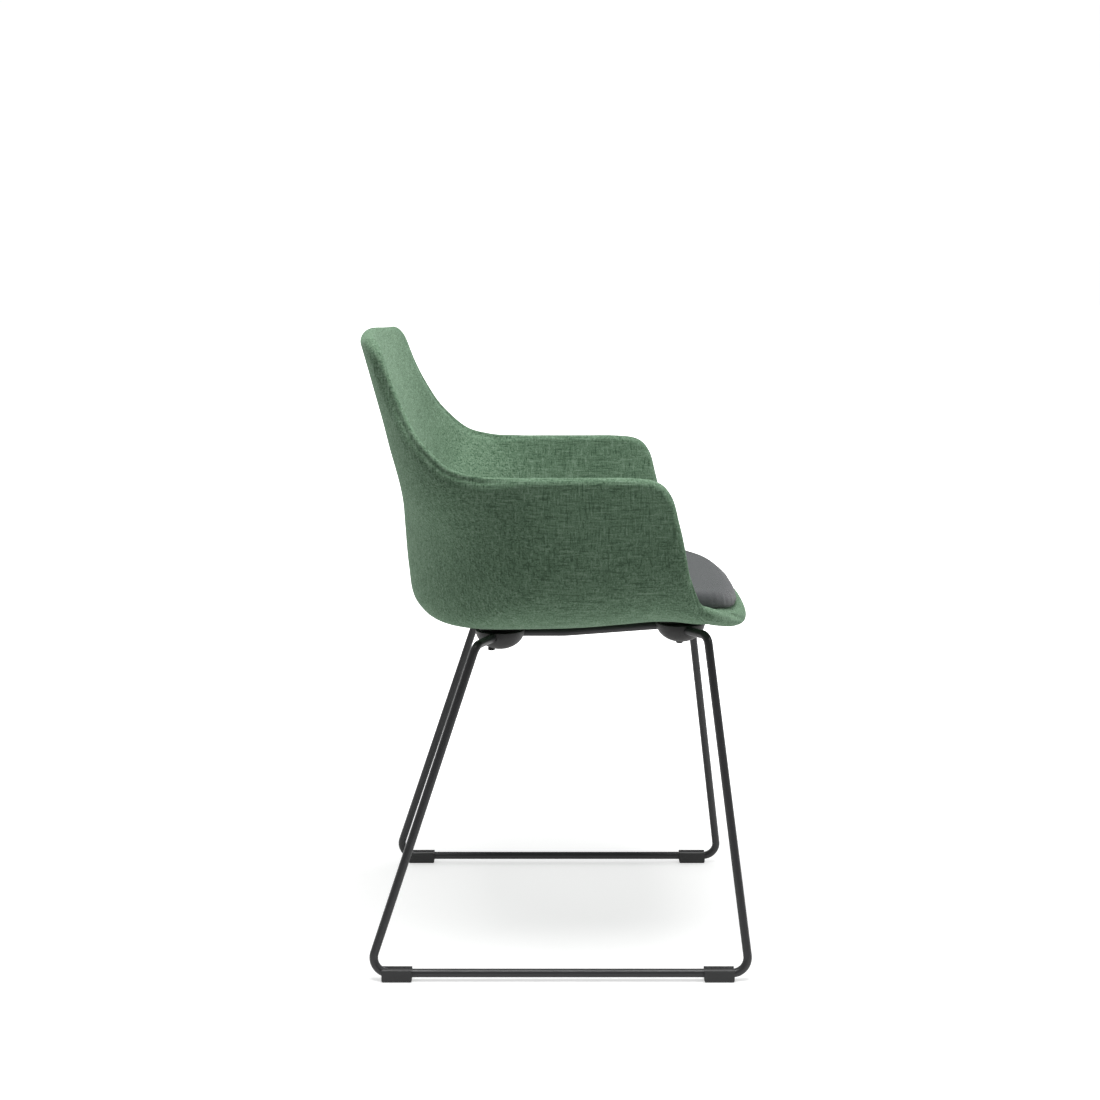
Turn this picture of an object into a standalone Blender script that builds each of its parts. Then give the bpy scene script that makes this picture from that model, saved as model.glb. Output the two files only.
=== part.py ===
"""Sled base armchair: an upholstered tub shell with a loose seat pad on two bent rod loops.

Metres, +Z up. The sitter looks along +X, the floor is z = 0 and the origin is under the middle.
"""

import math
from collections import namedtuple

import bmesh
import bpy
import numpy as np
from mathutils import Vector

for leftover in list(bpy.data.objects):
    bpy.data.objects.remove(leftover, do_unlink=True)

# Clearance between neighbouring pieces, and the overrun of every cutter
GAP = 0.0003
OVERRUN = 0.002

# Heights of the rods under the seat
FRONT_ROD_HEIGHT = 0.4297
REAR_ROD_DROP = 0.0096
REAR_ROD_HEIGHT = FRONT_ROD_HEIGHT - REAR_ROD_DROP

# Tub shell, measured on the middle surface of its wall
HALF_DEPTH = 0.2532
HALF_WIDTH = 0.288
SEAT_ABOVE_RODS = 0.0058
SEAT_LEVEL = FRONT_ROD_HEIGHT + SEAT_ABOVE_RODS
BACK_RISE = 0.372
WALL_HALF = 0.009
COVER_THICKNESS = 0.0016
SHELL_THICKNESS = 0.0055
LAYER_GAP = 0.0008
SEAM_ANGLE = math.radians(50)

# Seat pad
PAD_EDGE_HEIGHT = 0.025
PAD_CROWN_HEIGHT = 0.033
PAD_EDGE_WIDTH = 0.036
PAD_COVER_THICKNESS = 0.0012
PAD_BOARD_THICKNESS = 0.003
PAD_BOARD_INSET = 0.012
PAD_CLEARANCE = 0.0010
PAD_EDGE_CURL = 0.0025
PAD_TUCK = 0.0015
PAD_TUCK_HEIGHT = 0.005
PAD_ROUNDING = 1.3

# Cross plates, set in from the front and rear of the tub
PLATE_THICKNESS = 0.003
PLATE_HALF_SPAN = 0.138
PLATE_HALF_WIDTH = 0.027
PLATE_CORNER_RADIUS = 0.010
FRONT_SADDLE_INSET = 0.0876
REAR_SADDLE_INSET = 0.186
FRONT_SADDLE_X = HALF_DEPTH - FRONT_SADDLE_INSET
REAR_SADDLE_X = REAR_SADDLE_INSET - HALF_DEPTH

# Rod loops: runners set in from the tub's ends, and bends at distances from the saddles
ROD_RADIUS = 0.0055
RUNNER_HALF_SPACING = 0.2534
RUNNER_HEIGHT = 0.0102
RUNNER_REAR_INSET = 0.0212
RUNNER_FRONT_INSET = 0.0047
RUNNER_REAR_X = RUNNER_REAR_INSET - HALF_DEPTH
RUNNER_FRONT_X = HALF_DEPTH - RUNNER_FRONT_INSET
FRONT_LEG_LEAD = 0.030
FRONT_LEG_TOP_X = FRONT_SADDLE_X + FRONT_LEG_LEAD
FRONT_LEG_TOP_HALF_SPACING = 0.1894
REAR_LEG_TRAIL = 0.0283
REAR_LEG_TOP_X = REAR_SADDLE_X - REAR_LEG_TRAIL
REAR_LEG_TOP_HALF_SPACING = 0.2064
RAIL_HALF_SPACING = 0.112
RAIL_FRONT_SETBACK = 0.0206
RAIL_FRONT_X = FRONT_SADDLE_X - RAIL_FRONT_SETBACK
RAIL_REAR_LEAD = 0.0072
RAIL_REAR_X = REAR_SADDLE_X + RAIL_REAR_LEAD
RAIL_CREASE_LEAD = 0.0767
RAIL_BEND_X = RAIL_REAR_X + RAIL_CREASE_LEAD
LOWER_BEND_RADIUS = 0.0195
UPPER_BEND_RADIUS = 0.0125
RAIL_BEND_RADIUS = 0.016
RAIL_CREASE_RADIUS = 0.150

# Plastic saddles under the plates
SADDLE_HALF_SPAN = 0.158
SADDLE_HALF_WIDTH = 0.0318
SADDLE_DEPTH = 0.0250
SADDLE_DOME_LENGTH = 0.034

# Seat screws, washers and threaded inserts
SCREW_HALF_SPACING = 0.068
SCREW_RADIUS = 0.003
SCREW_HEAD_RADIUS = 0.0052
SCREW_HEAD_HEIGHT = 0.0032
SOCKET_RADIUS = 0.0023
SOCKET_DEPTH = 0.0018
WASHER_RADIUS = 0.0062
WASHER_THICKNESS = 0.0012
HEAD_POCKET_DEPTH = 0.0072
HOLE_PLAY = 0.0004
INSERT_WALL = 0.0014
INSERT_LENGTH = 0.0095
BOSS_RADIUS = 0.009
BOSS_ROOF = 0.0016

# Stacking buffers under the saddles
BUFFER_HALF_SPACING = 0.131
BUFFER_FRONT_SETBACK = 0.0015
BUFFER_REAR_SETBACK = 0.011
BUFFER_FRONT_X = FRONT_SADDLE_X - BUFFER_FRONT_SETBACK
BUFFER_REAR_X = REAR_SADDLE_X - BUFFER_REAR_SETBACK
BUFFER_HEAD_RADIUS = 0.0046
BUFFER_HEAD_HEIGHT = 0.0042
BUFFER_SHANK_RADIUS = 0.0024
BUFFER_SHANK_LENGTH = 0.0045
BUFFER_PROUD = 0.0026

# Clip-on floor glides
GLIDE_LENGTH = 0.038
GLIDE_HEIGHT = 0.0164
GLIDE_WALL = 0.003
GLIDE_CORNER_RADIUS = 0.0030
GLIDE_LIP = 0.0006
GLIDE_FRONT_SETBACK = 0.0385
GLIDE_REAR_LEAD = 0.0366
GLIDE_FRONT_X = RUNNER_FRONT_X - GLIDE_FRONT_SETBACK
GLIDE_REAR_X = RUNNER_REAR_X + GLIDE_REAR_LEAD

# Counts
ROD_SIDES = 10
ARC_STEP = math.radians(15)
ROUND_SIDES = 12

# Cross-sections of the tub, from the top of the back to the front lip. Each row holds the place
# along the tub, then shares: spine forward and up, edge forward, out and up, how far the section
# leaves the spine level, its lean forward, out and up at the edge, and how far it keeps that lean.
SECTION_SHARES = np.array([
    (-1.00, -0.955, 1.000, -0.874, 0.735, 0.990, 0.36, 0.26, 0.96, 0.05, 0.28),
    (-0.77, -0.822, 0.699, -0.730, 0.850, 0.765, 0.31, 0.38, 0.86, 0.25, 0.30),
    (-0.64, -0.774, 0.558, -0.625, 0.955, 0.655, 0.31, 0.42, 0.75, 0.50, 0.32),
    (-0.54, -0.748, 0.415, -0.492, 1.004, 0.578, 0.37, 0.38, 0.55, 0.75, 0.34),
    (-0.45, -0.740, 0.315, -0.355, 1.010, 0.554, 0.46, 0.30, 0.38, 0.88, 0.36),
    (-0.33, -0.723, 0.165, -0.200, 1.003, 0.550, 0.55, 0.22, 0.22, 0.95, 0.42),
    (-0.17, -0.682, 0.046, -0.060, 1.000, 0.550, 0.68, 0.14, 0.10, 0.98, 0.48),
    (-0.02, -0.535, 0.010, 0.060, 1.000, 0.550, 0.82, 0.08, 0.06, 0.99, 0.54),
    (0.08, -0.260, 0.010, 0.200, 1.000, 0.550, 0.84, 0.03, 0.04, 1.00, 0.56),
    (0.17, 0.020, 0.018, 0.350, 1.000, 0.550, 0.84, 0.00, 0.03, 1.00, 0.58),
    (0.26, 0.250, 0.026, 0.480, 1.000, 0.541, 0.85, 0.00, 0.04, 1.00, 0.56),
    (0.38, 0.430, 0.032, 0.564, 0.999, 0.492, 0.84, 0.00, 0.05, 1.00, 0.50),
    (0.50, 0.580, 0.037, 0.606, 0.990, 0.395, 0.83, 0.00, 0.10, 1.00, 0.42),
    (0.67, 0.750, 0.041, 0.650, 0.945, 0.255, 0.84, -0.10, 0.30, 0.92, 0.33),
    (0.83, 0.880, 0.038, 0.717, 0.880, 0.112, 0.78, -0.18, 0.70, 0.62, 0.26),
    (0.92, 0.945, 0.030, 0.772, 0.855, 0.084, 0.72, -0.25, 0.90, 0.36, 0.29),
    (1.00, 1.002, 0.019, 0.870, 0.814, 0.074, 0.75, -0.29, 0.97, 0.18, 0.34),
])

# How an upholstered outline runs over the sections, in shares of the section table: its two ends,
# its half width, the corner sizes at either end, where its rings close, and points per stretch
Outline = namedtuple("Outline", "start end half rear_corner front_corner hubs counts")
TUB_OUTLINE = Outline(-1.0, 1.0, 1.0, (0.075, 0.16), (0.06, 0.36), (-0.73, 0.78), (3, 3, 17, 4, 3))
PAD_OUTLINE = Outline(0.01, 0.905, 0.47, (0.22, 0.32), (0.10, 0.15), (0.20, 0.62), (2, 4, 6, 4, 3))
TUB_RING_SHARES = (0.11, 0.24, 0.40, 0.58, 0.79)
PAD_RING_SHARES = (0.30, 0.65)


def make_material(name, colour, roughness, metallic=0.0):
    """A plain surface finish."""
    material = bpy.data.materials.new(name)
    material.use_nodes = True
    shader = material.node_tree.nodes["Principled BSDF"]
    shader.inputs["Base Color"].default_value = (*colour, 1.0)
    shader.inputs["Roughness"].default_value = roughness
    shader.inputs["Metallic"].default_value = metallic
    material.diffuse_color = (*colour, 1.0)
    return material


GREEN_FABRIC = make_material("green_fabric", (0.115, 0.245, 0.135), 0.95)
CHARCOAL_FABRIC = make_material("charcoal_fabric", (0.115, 0.122, 0.130), 0.95)
FOAM = make_material("foam", (0.70, 0.66, 0.52), 1.0)
SHELL_PLASTIC = make_material("shell_plastic", (0.045, 0.046, 0.048), 0.55)
BOARD_PLASTIC = make_material("board_plastic", (0.020, 0.020, 0.021), 0.60)
BLACK_COAT = make_material("black_coat", (0.020, 0.020, 0.021), 0.38)
DARK_PLASTIC = make_material("dark_plastic", (0.060, 0.057, 0.057), 0.50)
BLACK_RUBBER = make_material("black_rubber", (0.012, 0.012, 0.012), 0.85)
GLIDE_PLASTIC = make_material("glide_plastic", (0.018, 0.018, 0.019), 0.45)
ZINC = make_material("zinc", (0.42, 0.42, 0.43), 0.35, 1.0)
BRASS = make_material("brass", (0.62, 0.46, 0.20), 0.35, 1.0)


def add_object(name, vertices, faces, material):
    """One closed mesh object, its faces turned outward."""
    mesh = bpy.data.meshes.new(name)
    mesh.from_pydata([tuple(map(float, vertex)) for vertex in vertices], [], faces)
    shaped = bmesh.new()
    shaped.from_mesh(mesh)
    bmesh.ops.recalc_face_normals(shaped, faces=shaped.faces)
    shaped.to_mesh(mesh)
    shaped.free()
    mesh.shade_smooth()
    mesh.set_sharp_from_angle(angle=math.radians(40))
    mesh.materials.append(material)
    item = bpy.data.objects.new(name, mesh)
    bpy.context.scene.collection.objects.link(item)
    return item


def hide_guide(item):
    """Marks a cutter, which is no piece of the chair."""
    item.hide_render = True
    item.display_type = "WIRE"
    return item


def combine(item, guide, operation):
    """Cuts a guide out of a piece, or joins it on."""
    step = item.modifiers.new(guide.name, "BOOLEAN")
    step.operation = operation
    step.solver = "EXACT"
    step.object = hide_guide(guide)


def join_rings(rings, capped=True):
    """Faces between equal rings of vertex numbers, with flat caps on the first and last."""
    faces = []
    for lower, upper in zip(rings, rings[1:]):
        for i in range(len(lower)):
            j = (i + 1) % len(lower)
            faces.append((lower[i], lower[j], upper[j], upper[i]))
    if capped:
        faces.append(tuple(reversed(rings[0])))
        faces.append(tuple(rings[-1]))
    return faces


def number_rings(count, size):
    """Vertex numbers of rings that were listed one after the other."""
    return [list(range(size * k, size * (k + 1))) for k in range(count)]


def turned(name, centre, profile, material, sides=ROUND_SIDES):
    """A solid turned round a vertical axis through centre, from (radius, height) pairs."""
    vertices = []
    for radius, height in profile:
        for k in range(sides):
            angle = 2 * math.pi * k / sides
            offset = (radius * math.cos(angle), radius * math.sin(angle), height)
            vertices.append(np.add(centre, offset))
    return add_object(name, vertices, join_rings(number_rings(len(profile), sides)), material)


def turned_ring(name, centre, outer, inner, low, high, material):
    """A ring round a vertical axis through centre."""
    vertices = []
    for radius, height in ((outer, low), (outer, high), (inner, high), (inner, low)):
        for k in range(ROUND_SIDES):
            angle = 2 * math.pi * k / ROUND_SIDES
            offset = (radius * math.cos(angle), radius * math.sin(angle), height)
            vertices.append(np.add(centre, offset))
    rings = number_rings(4, ROUND_SIDES)
    return add_object(name, vertices, join_rings(rings + rings[:1], capped=False), material)


def posts(name, places, radius, low, high):
    """A cutter made of upright cylinders at several places."""
    vertices, faces = [], []
    for x, y in places:
        start = len(vertices)
        for height in (low, high):
            for k in range(ROUND_SIDES):
                angle = 2 * math.pi * k / ROUND_SIDES
                vertices.append((x + radius * math.cos(angle), y + radius * math.sin(angle), height))
        rings = [[start + number for number in ring] for ring in number_rings(2, ROUND_SIDES)]
        faces += join_rings(rings)
    return add_object(name, vertices, faces, SHELL_PLASTIC)


# Tub surface

def follow_table(place):
    """The section table read at any place along the tub, with a smooth run through its rows."""
    along, rows = SECTION_SHARES[:, 0], SECTION_SHARES[:, 1:]
    last = len(along) - 1
    k = min(max(int(np.searchsorted(along, place)) - 1, 0), last - 1)

    def slope(row):
        if row == 0:
            return (rows[1] - rows[0]) / (along[1] - along[0])
        if row == last:
            return (rows[last] - rows[last - 1]) / (along[last] - along[last - 1])
        before = along[row] - along[row - 1]
        after = along[row + 1] - along[row]
        rise_before = (rows[row] - rows[row - 1]) / before
        rise_after = (rows[row + 1] - rows[row]) / after
        return (rise_before * after + rise_after * before) / (before + after)

    step = along[k + 1] - along[k]
    t = (place - along[k]) / step
    start = (2 * t**3 - 3 * t**2 + 1) * rows[k] + (t**3 - 2 * t**2 + t) * step * slope(k)
    finish = (3 * t**2 - 2 * t**3) * rows[k + 1] + (t**3 - t**2) * step * slope(k + 1)
    return start + finish


def tub_point(place, across):
    """A point of the tub's middle surface. Across runs from 0 at the spine to +-1 at the edges."""
    row = follow_table(place)
    spine = np.array((row[0] * HALF_DEPTH, 0.0, SEAT_LEVEL + row[1] * BACK_RISE))
    edge = np.array((row[2] * HALF_DEPTH, row[3] * HALF_WIDTH, SEAT_LEVEL + row[4] * BACK_RISE))
    lean = row[6:9] / np.linalg.norm(row[6:9])
    leave = spine + np.array((0.0, row[5] * edge[1], 0.0))
    arrive = edge - lean * row[9] * np.linalg.norm(edge - spine)
    t = abs(across)
    point = (1 - t)**3 * spine + 3 * (1 - t)**2 * t * leave + 3 * (1 - t) * t**2 * arrive + t**3 * edge
    return point * np.array((1, math.copysign(1, across), 1))


def tub_normal(place, across):
    """The tub's unit normal, toward the sitter."""
    nudge_share = 0.001
    ahead = tub_point(min(place + nudge_share, 1), across)
    behind = tub_point(max(place - nudge_share, -1), across)
    side = tub_point(place, across + nudge_share) - tub_point(place, across - nudge_share)
    normal = np.cross(ahead - behind, side)
    return normal / np.linalg.norm(normal)


class Ray:
    """A line over the tub surface, from an outline's edge to the spine."""

    def __init__(self, place, across, hub, key):
        self.place, self.across, self.hub, self.key = place, across, hub, key
        self.reach = 1.0

    def spot(self, inward):
        return self.hub + (self.place - self.hub) * (1 - inward), self.across * (1 - inward)

    def measure(self, before, after):
        """Stores how far one whole step inward moves away from the edge."""
        nudge_share = 0.001
        inward = (tub_point(*self.spot(nudge_share)) - tub_point(*self.spot(0.0))) / nudge_share
        along = tub_point(*after.spot(0.0)) - tub_point(*before.spot(0.0))
        self.reach = np.linalg.norm(np.cross(inward, along / np.linalg.norm(along)))

    def point(self, distance, share, offset):
        """A point at a distance in from the edge, moved a share of the way on to the spine."""
        inward = distance / self.reach * (1 - share) + share
        spot = self.spot(inward)
        return tub_point(*spot) + tub_normal(*spot) * offset


def outline_rays(outline):
    """The rays of a closed outline, down its left side and back up its right."""
    top, corner, side, front_corner, front = outline.counts
    rear_along, rear_across = outline.rear_corner
    fore_along, fore_across = outline.front_corner
    half = []
    for k in range(top):
        half.append((outline.start, (outline.half - rear_across) * k / top))
    for k in range(corner):
        turn = math.pi / 2 * k / corner
        half.append((outline.start + rear_along * (1 - math.cos(turn)),
                     outline.half - rear_across * (1 - math.sin(turn))))
    straight = outline.end - fore_along - outline.start - rear_along
    for k in range(side):
        half.append((outline.start + rear_along + straight * k / side, outline.half))
    for k in range(front_corner):
        turn = math.pi / 2 * k / front_corner
        half.append((outline.end - fore_along * (1 - math.sin(turn)),
                     outline.half - fore_across * (1 - math.cos(turn))))
    for k in range(front + 1):
        half.append((outline.end, (outline.half - fore_across) * (1 - k / front)))
    spots = half + [(place, -across) for place, across in reversed(half[1:-1])]
    rays = []
    for place, across in spots:
        hub = min(max(place, outline.hubs[0]), outline.hubs[1])
        rays.append(Ray(place, across, hub, round(hub, 6)))
    for k, ray in enumerate(rays):
        ray.measure(rays[k - 1], rays[(k + 1) % len(rays)])
    return rays


def upholstered(name, rays, outward, inward, material):
    """A closed layer over the rays: one face out to the edge, the other back to the spine."""
    vertices, rings = [], []
    for distance, share, offset in outward + inward:
        ring, shared = [], {}
        for number, ray in enumerate(rays):
            key = ray.key if share == 1 else number
            if key not in shared:
                shared[key] = len(vertices)
                vertices.append(ray.point(distance, share, offset))
            ring.append(shared[key])
        rings.append(ring)
    faces = []
    count = len(rays)
    for k in range(len(rings) - 1):
        near, far = (rings[k], rings[k + 1]) if k < len(outward) - 1 else (rings[k + 1], rings[k])
        for i in range(count):
            j = (i + 1) % count
            if i >= count // 2:
                i, j = j, i
            for triangle in ((near[i], near[j], far[j]), (near[i], far[j], far[i])):
                if len(set(triangle)) == 3:
                    faces.append(triangle)
    return add_object(name, vertices, faces, material)


def tub_rings(offset):
    """Rings of a tub face, from its spine out to where its edge rounding starts."""
    return [(WALL_HALF, share, offset) for share in (1.0, *TUB_RING_SHARES[::-1], 0.0)]


def arc_rings(radius, turns):
    """Rings round the edge of the wall, at angles from the middle surface."""
    return [(WALL_HALF - radius * math.cos(turn), 0.0, radius * math.sin(turn)) for turn in turns]


CORE_RADIUS = WALL_HALF - COVER_THICKNESS - LAYER_GAP
COVER_INSIDE = WALL_HALF - COVER_THICKNESS
SHELL_TOP = SHELL_THICKNESS - CORE_RADIUS
PADDING_BOTTOM = SHELL_TOP + GAP
QUARTER = math.pi / 2
LAYER_TURN = math.asin((SHELL_TOP + PADDING_BOTTOM) / 2 / CORE_RADIUS)
INNER_TURNS = [math.radians(angle) for angle in (90, 60, 30, 9)]
BETWEEN_TURNS = [(LAYER_TURN - SEAM_ANGLE) / 2, -SEAM_ANGLE]
OUTER_TURNS = [-QUARTER, -(QUARTER + SEAM_ANGLE) / 2]


def make_seat_shell(rays):
    """The moulded shell that carries the upholstery."""
    turns = OUTER_TURNS + BETWEEN_TURNS[::-1] + [math.asin(SHELL_TOP / CORE_RADIUS)]
    outward = tub_rings(-CORE_RADIUS) + arc_rings(CORE_RADIUS, turns[1:])
    inward = tub_rings(SHELL_TOP)[::-1]
    return upholstered("seat_shell", rays, outward, inward, SHELL_PLASTIC)


def make_inner_padding(rays):
    """Foam on the sitter's side of the shell."""
    turns = INNER_TURNS + [math.asin(PADDING_BOTTOM / CORE_RADIUS)]
    outward = tub_rings(CORE_RADIUS) + arc_rings(CORE_RADIUS, turns[1:])
    inward = tub_rings(PADDING_BOTTOM)[::-1]
    return upholstered("inner_padding", rays, outward, inward, FOAM)


def make_inner_cover(rays):
    """Fabric over the foam, wrapped round the edge to a seam just under it."""
    turns = INNER_TURNS + [LAYER_TURN] + BETWEEN_TURNS
    outward = tub_rings(WALL_HALF) + arc_rings(WALL_HALF, turns[1:])
    inward = arc_rings(COVER_INSIDE, turns[:0:-1]) + tub_rings(COVER_INSIDE)[::-1]
    return upholstered("inner_cover", rays, outward, inward, GREEN_FABRIC)


def make_outer_cover(rays):
    """Fabric over the outside of the shell, up to the seam."""
    turns = OUTER_TURNS + [-SEAM_ANGLE - LAYER_GAP / COVER_INSIDE]
    outward = tub_rings(-WALL_HALF) + arc_rings(WALL_HALF, turns[1:])
    inward = arc_rings(COVER_INSIDE, turns[:0:-1]) + tub_rings(-COVER_INSIDE)[::-1]
    return upholstered("outer_cover", rays, outward, inward, GREEN_FABRIC)


# Seat pad

PAD_SEAT = WALL_HALF + PAD_CLEARANCE
PAD_SIDE_TURNS = [math.radians(angle) for angle in (70, 48, 26, 0)]


def pad_rings(offset, lift):
    """Rings of a pad face, from its spine out to where its side rounding starts."""
    shares = (1.0, *PAD_RING_SHARES[::-1], 0.0)
    return [(PAD_EDGE_WIDTH, share, offset + lift(share)) for share in shares]


def pad_curl(share):
    """How far the pad's underside lifts off the seat toward its edge."""
    return PAD_EDGE_CURL * (1 - share)**2


def pad_swell(share):
    """How much the pad's top rises from its edge toward its crown."""
    return (PAD_CROWN_HEIGHT - PAD_EDGE_HEIGHT) * (1 - (1 - share)**2)


def pad_profile(inset, floor):
    """The pad's crown and its drawn-in sides, all moved in by an inset, down to a floor."""
    widest = PAD_SEAT + PAD_EDGE_CURL + PAD_TUCK_HEIGHT
    top = PAD_SEAT + PAD_EDGE_HEIGHT - inset
    rings = pad_rings(top, pad_swell)
    for turn in PAD_SIDE_TURNS:
        drawn, raised = math.cos(turn)**PAD_ROUNDING, math.sin(turn)**PAD_ROUNDING
        distance = PAD_EDGE_WIDTH - (PAD_EDGE_WIDTH - inset) * drawn
        rings.append((distance, 0.0, widest + (top - widest) * raised))
    return rings + [(inset + PAD_TUCK, 0.0, floor)]


def make_pad_cover(rays):
    """The pad's fabric, open underneath."""
    floor = PAD_SEAT + PAD_EDGE_CURL
    outward = pad_profile(0.0, floor)
    inward = pad_profile(PAD_COVER_THICKNESS, floor)[::-1]
    return upholstered("pad_cover", rays, outward, inward, CHARCOAL_FABRIC)


def make_pad_foam(rays):
    """The pad's crowned foam block."""
    floor = PAD_SEAT + PAD_BOARD_THICKNESS + LAYER_GAP
    outward = pad_profile(PAD_COVER_THICKNESS + GAP, floor + PAD_EDGE_CURL)
    inward = [(PAD_BOARD_INSET, 0.0, floor + PAD_EDGE_CURL)] + pad_rings(floor, pad_curl)[::-1]
    return upholstered("pad_foam", rays, outward, inward, FOAM)


def make_pad_board(rays):
    """The stiff board under the pad's foam."""
    top = PAD_SEAT + PAD_BOARD_THICKNESS
    outward = pad_rings(top, pad_curl) + [(PAD_BOARD_INSET, 0.0, top + PAD_EDGE_CURL)]
    inward = [(PAD_BOARD_INSET, 0.0, PAD_SEAT + PAD_EDGE_CURL)] + pad_rings(PAD_SEAT, pad_curl)[::-1]
    return upholstered("pad_board", rays, outward, inward, BOARD_PLASTIC)


# Rod loops

def loop_path(side):
    """The closed centre line of one bent rod, with rounded corners, on side -1 or 1."""
    corners = (
        (RUNNER_REAR_X, RUNNER_HALF_SPACING, RUNNER_HEIGHT, LOWER_BEND_RADIUS),
        (RUNNER_FRONT_X, RUNNER_HALF_SPACING, RUNNER_HEIGHT, LOWER_BEND_RADIUS),
        (FRONT_LEG_TOP_X, FRONT_LEG_TOP_HALF_SPACING, FRONT_ROD_HEIGHT, UPPER_BEND_RADIUS),
        (RAIL_FRONT_X, RAIL_HALF_SPACING, FRONT_ROD_HEIGHT, RAIL_BEND_RADIUS),
        (RAIL_BEND_X, RAIL_HALF_SPACING, REAR_ROD_HEIGHT, RAIL_CREASE_RADIUS),
        (RAIL_REAR_X, RAIL_HALF_SPACING, REAR_ROD_HEIGHT, RAIL_BEND_RADIUS),
        (REAR_LEG_TOP_X, REAR_LEG_TOP_HALF_SPACING, REAR_ROD_HEIGHT, UPPER_BEND_RADIUS),
    )
    places = [Vector((x, side * y, z)) for x, y, z, _ in corners]
    path = []
    for k, corner in enumerate(places):
        before = (places[k - 1] - corner).normalized()
        after = (places[(k + 1) % len(places)] - corner).normalized()
        path += rounded_corner(corner, before, after, corners[k][3])
    return path


def rounded_corner(corner, before, after, radius):
    """Points of the arc that rounds a corner between two unit directions."""
    turn = math.pi - before.angle(after)
    setback = radius * math.tan(turn / 2)
    start = corner + before * setback
    bisector = (before + after).normalized()
    centre = corner + bisector * (radius / math.cos(turn / 2))
    arm = start - centre
    axis = before.cross(after).normalized()
    steps = max(1, math.ceil(turn / ARC_STEP))
    points = []
    for k in range(steps + 1):
        angle = -turn * k / steps
        points.append(centre + rotate(arm, axis, angle))
    return points


def rotate(arm, axis, angle):
    """A vector turned round an axis."""
    across = axis.cross(arm)
    return arm * math.cos(angle) + across * math.sin(angle) + axis * axis.dot(arm) * (1 - math.cos(angle))


def rod_along(name, path, radius, material):
    """A closed round rod that follows a path."""
    count = len(path)
    middle = sum(path, Vector()) / count
    vertices = []
    for k, point in enumerate(path):
        forward = (path[(k + 1) % count] - path[k - 1]).normalized()
        outward = (point - middle)
        outward = (outward - forward * outward.dot(forward)).normalized()
        across = forward.cross(outward)
        for side in range(ROD_SIDES):
            angle = 2 * math.pi * (side + 0.5) / ROD_SIDES
            vertices.append(point + (outward * math.cos(angle) + across * math.sin(angle)) * radius)
    rings = number_rings(count, ROD_SIDES)
    return add_object(name, vertices, join_rings(rings + rings[:1], capped=False), material)


def make_loops():
    """The two side loops of the base."""
    for name, side in (("right_sled_loop", -1), ("left_sled_loop", 1)):
        rod_along(name, loop_path(side), ROD_RADIUS, BLACK_COAT)


# Cross plates, saddles and fixings

def screw_places(x):
    return ((x, -SCREW_HALF_SPACING), (x, SCREW_HALF_SPACING))


def plate_bottom(rod_height):
    return rod_height + ROD_RADIUS + GAP


def plate_top(rod_height):
    return plate_bottom(rod_height) + PLATE_THICKNESS


def saddle_top(rod_height):
    return rod_height + ROD_RADIUS


def make_cross_plate(name, x, rod_height):
    """The steel plate across the two rods, with its screw holes."""
    outline = []
    for sign_x, sign_y, start in ((1, 1, 0.0), (-1, 1, 0.5), (-1, -1, 1.0), (1, -1, 1.5)):
        for k in range(5):
            angle = math.pi * (start + k / 8)
            outline.append((x + sign_x * (PLATE_HALF_WIDTH - PLATE_CORNER_RADIUS)
                            + PLATE_CORNER_RADIUS * math.cos(angle),
                            sign_y * (PLATE_HALF_SPAN - PLATE_CORNER_RADIUS)
                            + PLATE_CORNER_RADIUS * math.sin(angle)))
    low, high = plate_bottom(rod_height), plate_top(rod_height)
    vertices = [(px, py, height) for height in (low, high) for px, py in outline]
    plate = add_object(name, vertices, join_rings(number_rings(2, len(outline))), BLACK_COAT)
    hole = SCREW_RADIUS + HOLE_PLAY
    combine(plate, posts(name + "_holes", screw_places(x), hole, low - OVERRUN, high + OVERRUN),
            "DIFFERENCE")


def saddle_section(x, y, top, scale):
    """A boat-shaped ring across the saddle, smaller toward its domed ends."""
    steps = 8
    ring = []
    for k in range(steps + 1):
        angle = math.pi * k / steps
        ring.append((x + SADDLE_HALF_WIDTH * scale * math.cos(angle), y,
                     top - SADDLE_DEPTH * scale * math.sin(angle)))
    return ring


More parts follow.
